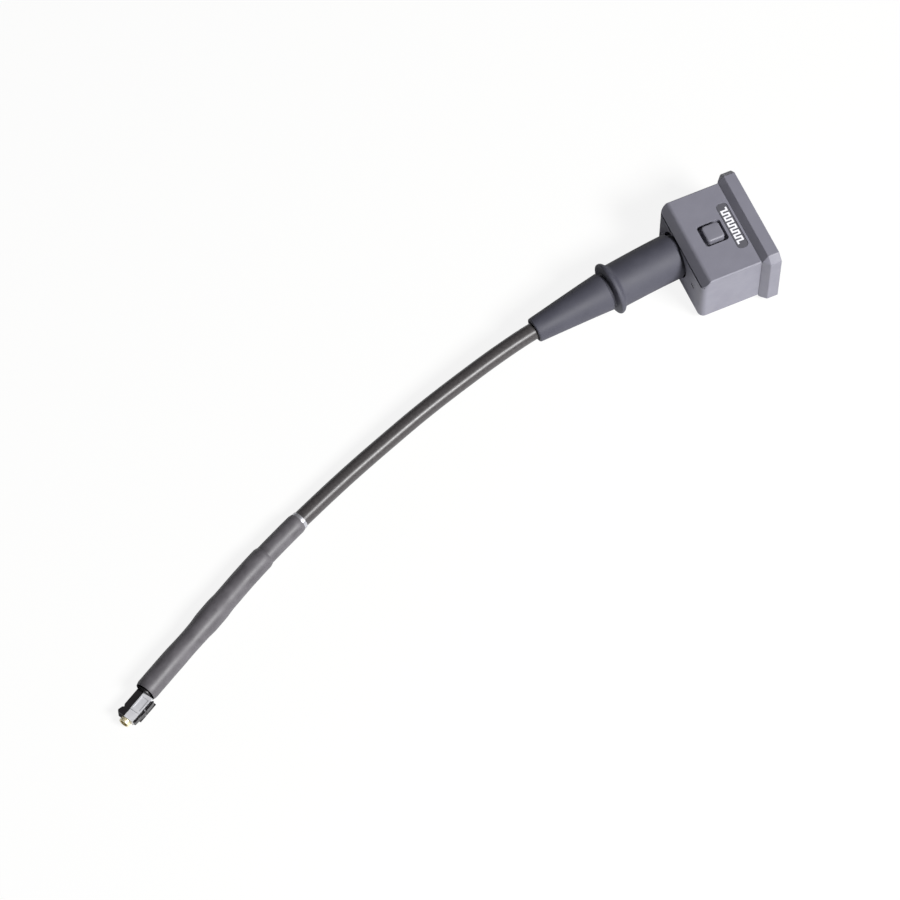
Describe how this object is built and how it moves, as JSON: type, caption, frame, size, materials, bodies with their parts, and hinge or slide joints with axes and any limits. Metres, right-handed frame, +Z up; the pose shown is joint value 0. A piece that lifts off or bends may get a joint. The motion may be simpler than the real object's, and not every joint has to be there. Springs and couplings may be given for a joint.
{
  "type": "probe interface pod with lead",
  "caption": "Small interface pod with a cut-corner mating collar and a push button on top, joined by a short sleeved coaxial lead to a latching push-on tip.",
  "frame": {"origin": "middle of the pod's footprint, on the surface it lies on", "axes": "+X out of the mating collar, +Z up through the button, +Y to the side the boot is offset to; the lead leaves towards -X"},
  "size_m": [0.2783, 0.1038, 0.0286],
  "materials": {
    "case_plastic": "fine moulded texture, satin grey",
    "cover_plastic": "fine moulded texture, satin grey",
    "collar_plastic": "fine moulded texture, satin grey",
    "badge_plastic": "dark inlay with a plain light trace",
    "button_plastic": "satin dark grey",
    "black_plastic": "moulded black",
    "board": "solder-masked board",
    "chip": "moulded",
    "nickel_plate": "nickel plated",
    "steel": "turned",
    "gold_plate": "gold plated",
    "white_insulator": "fluoropolymer",
    "boot_rubber": "matte moulded",
    "cable_jacket": "semi-gloss extruded",
    "shrink_sleeve": "shrunk tubing, satin"
  },
  "bodies": {
    "pod": {"lower_case": "case_plastic", "top_cover": "cover_plastic", "mating_collar": "collar_plastic", "badge_inlay": "badge_plastic", "case_screw_1": "steel", "case_screw_2": "steel", "case_screw_3": "steel", "case_screw_4": "steel", "rear_screw": "steel", "switch_body": "black_plastic", "switch_board": "board", "switch_board_screw_1": "steel", "switch_board_screw_2": "steel", "main_board": "board", "shield_can": "nickel_plate", "amplifier_chip": "chip", "memory_chip": "chip", "lead_socket": "gold_plate", "jack_socket": "gold_plate", "signal_lead": "cable_jacket", "jack_lead": "cable_jacket", "connector_plate": "nickel_plate", "plate_screw_1": "steel", "plate_screw_2": "steel", "plate_screw_3": "steel", "plate_screw_4": "steel", "jack_shell": "gold_plate", "jack_insulator": "white_insulator", "jack_contact": "gold_plate", "contact_block_left": "black_plastic", "contact_block_right": "black_plastic", "pin_barrel_1": "gold_plate", "pin_barrel_2": "gold_plate", "pin_barrel_3": "gold_plate", "pin_barrel_4": "gold_plate", "pin_barrel_5": "gold_plate", "pin_barrel_6": "gold_plate", "strain_relief_boot": "boot_rubber", "crimp_ring": "steel", "cable": "cable_jacket", "cable_ferrule": "steel", "inner_sleeve": "shrink_sleeve", "outer_sleeve": "shrink_sleeve", "tip_housing": "black_plastic", "tip_block": "nickel_plate", "latch_pin": "steel", "tip_barrel": "gold_plate", "tip_insulator": "white_insulator", "tip_contact": "gold_plate"},
    "button": {"button_cap": "button_plastic"},
    "plunger": {"switch_plunger": "steel"},
    "pin_1": {"spring_pin_1": "gold_plate"},
    "pin_2": {"spring_pin_2": "gold_plate"},
    "pin_3": {"spring_pin_3": "gold_plate"},
    "pin_4": {"spring_pin_4": "gold_plate"},
    "pin_5": {"spring_pin_5": "gold_plate"},
    "pin_6": {"spring_pin_6": "gold_plate"},
    "latch": {"latch_lever": "black_plastic"}
  },
  "joints": [
    {"name": "button_press", "type": "slide", "parent": "pod", "child": "button", "axis": [0, 0, -1], "range_m": [0, 0.0005], "stiffness_N_per_m": 1500},
    {"name": "plunger_press", "type": "slide", "parent": "pod", "child": "plunger", "axis": [0, 0, -1], "range_m": [0, 0.0005], "stiffness_N_per_m": 600},
    {"name": "pin_1_press", "type": "slide", "parent": "pod", "child": "pin_1", "axis": [-1, 0, 0], "range_m": [0, 0.0008], "stiffness_N_per_m": 1000},
    {"name": "pin_2_press", "type": "slide", "parent": "pod", "child": "pin_2", "axis": [-1, 0, 0], "range_m": [0, 0.0008], "stiffness_N_per_m": 1000},
    {"name": "pin_3_press", "type": "slide", "parent": "pod", "child": "pin_3", "axis": [-1, 0, 0], "range_m": [0, 0.0008], "stiffness_N_per_m": 1000},
    {"name": "pin_4_press", "type": "slide", "parent": "pod", "child": "pin_4", "axis": [-1, 0, 0], "range_m": [0, 0.0008], "stiffness_N_per_m": 1000},
    {"name": "pin_5_press", "type": "slide", "parent": "pod", "child": "pin_5", "axis": [-1, 0, 0], "range_m": [0, 0.0008], "stiffness_N_per_m": 1000},
    {"name": "pin_6_press", "type": "slide", "parent": "pod", "child": "pin_6", "axis": [-1, 0, 0], "range_m": [0, 0.0008], "stiffness_N_per_m": 1000},
    {"name": "latch_pivot", "type": "hinge", "parent": "pod", "child": "latch", "pos_m": [-0.25501, -0.08022, 0.0035], "axis": [0, 0, 1], "range_deg": [0, 5], "stiffness_Nm_per_rad": 0.02}
  ],
  "couplings": [
    {"joint": "plunger_press", "follows": "button_press", "ratio": 1}
  ]
}
